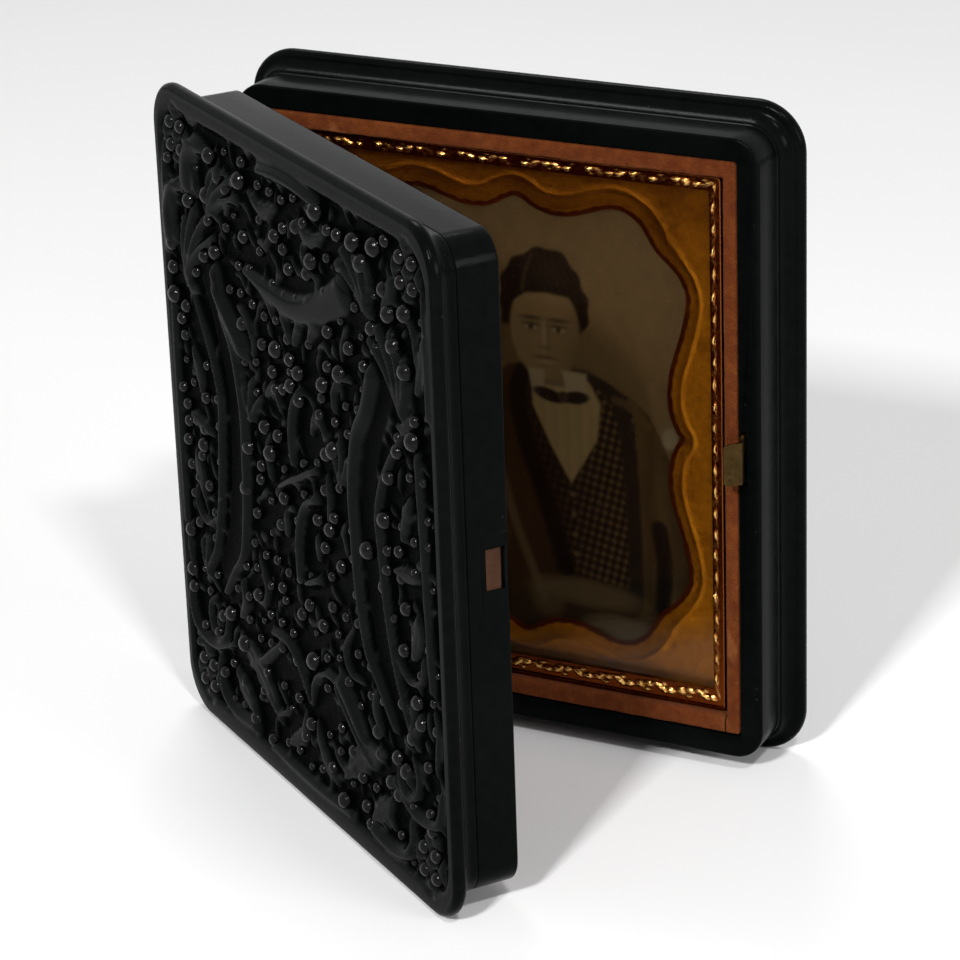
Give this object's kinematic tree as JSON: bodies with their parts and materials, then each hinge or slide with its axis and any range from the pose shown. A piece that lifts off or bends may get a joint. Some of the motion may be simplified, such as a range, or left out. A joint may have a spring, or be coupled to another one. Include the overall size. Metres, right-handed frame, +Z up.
{
  "type": "union case",
  "caption": "Small hinged case of moulded black thermoplastic for a framed glass photograph, with a brass mat, a velvet pad and a spring catch.",
  "frame": {"origin": "middle of the case's footprint, on the surface that it stands on, with the cover 35 degrees open", "axes": "+Z up, along both leaves' height and the hinge pins; +X from the hinges towards the rear leaf's free side; -Y the way the picture faces"},
  "size_m": [0.0896, 0.0678, 0.095],
  "materials": {
    "thermoplastic": "moulded black thermoplastic, polished on the high spots",
    "velvet": "worn red-brown silk velvet",
    "brass_fitting": "rolled sheet brass, aged",
    "gilt_foil": "thin embossed gilt brass",
    "gilt_mat": "stamped gilt brass, matt ground",
    "clear_glass": "clear cover glass",
    "glass_picture": "glass plate with a dark collodion picture on its back",
    "black_card": "black japanned card",
    "pasteboard": "brown pasteboard"
  },
  "bodies": {
    "rear_leaf": {"rear_shell": "thermoplastic", "packing_card": "pasteboard", "black_backing": "black_card", "image_plate": "glass_picture", "brass_mat": "gilt_mat", "cover_glass": "clear_glass", "brass_preserver": "gilt_foil", "velvet_retainer": "velvet", "catch_rivet_upper": "brass_fitting", "catch_rivet_lower": "brass_fitting", "upper_hinge_rear_strap": "brass_fitting", "upper_hinge_rear_backing": "brass_fitting", "upper_hinge_pin": "brass_fitting", "upper_hinge_rear_rivet_1": "brass_fitting", "upper_hinge_rear_rivet_2": "brass_fitting", "lower_hinge_rear_strap": "brass_fitting", "lower_hinge_rear_backing": "brass_fitting", "lower_hinge_pin": "brass_fitting", "lower_hinge_rear_rivet_1": "brass_fitting", "lower_hinge_rear_rivet_2": "brass_fitting"},
    "cover": {"cover_shell": "thermoplastic", "pad_card": "pasteboard", "velvet_pad": "velvet", "keeper_plate": "brass_fitting", "keeper_rivet_upper": "brass_fitting", "keeper_rivet_lower": "brass_fitting", "upper_hinge_cover_strap": "brass_fitting", "upper_hinge_cover_backing": "brass_fitting", "upper_hinge_cover_rivet_1": "brass_fitting", "upper_hinge_cover_rivet_2": "brass_fitting", "lower_hinge_cover_strap": "brass_fitting", "lower_hinge_cover_backing": "brass_fitting", "lower_hinge_cover_rivet_1": "brass_fitting", "lower_hinge_cover_rivet_2": "brass_fitting"},
    "tongue": {"catch_tongue": "brass_fitting"}
  },
  "joints": [
    {"name": "cover_hinge", "type": "hinge", "parent": "rear_leaf", "child": "cover", "pos_m": [-0.03807, 0.02217, 0.0475], "axis": [0, 0, -1], "range_deg": [-35, 129]},
    {"name": "tongue_flex", "type": "hinge", "parent": "rear_leaf", "child": "tongue", "pos_m": [0.03966, 0.02702, 0.0475], "axis": [0, 0, -1], "range_deg": [0, 5], "stiffness_Nm_per_rad": 0.25}
  ]
}
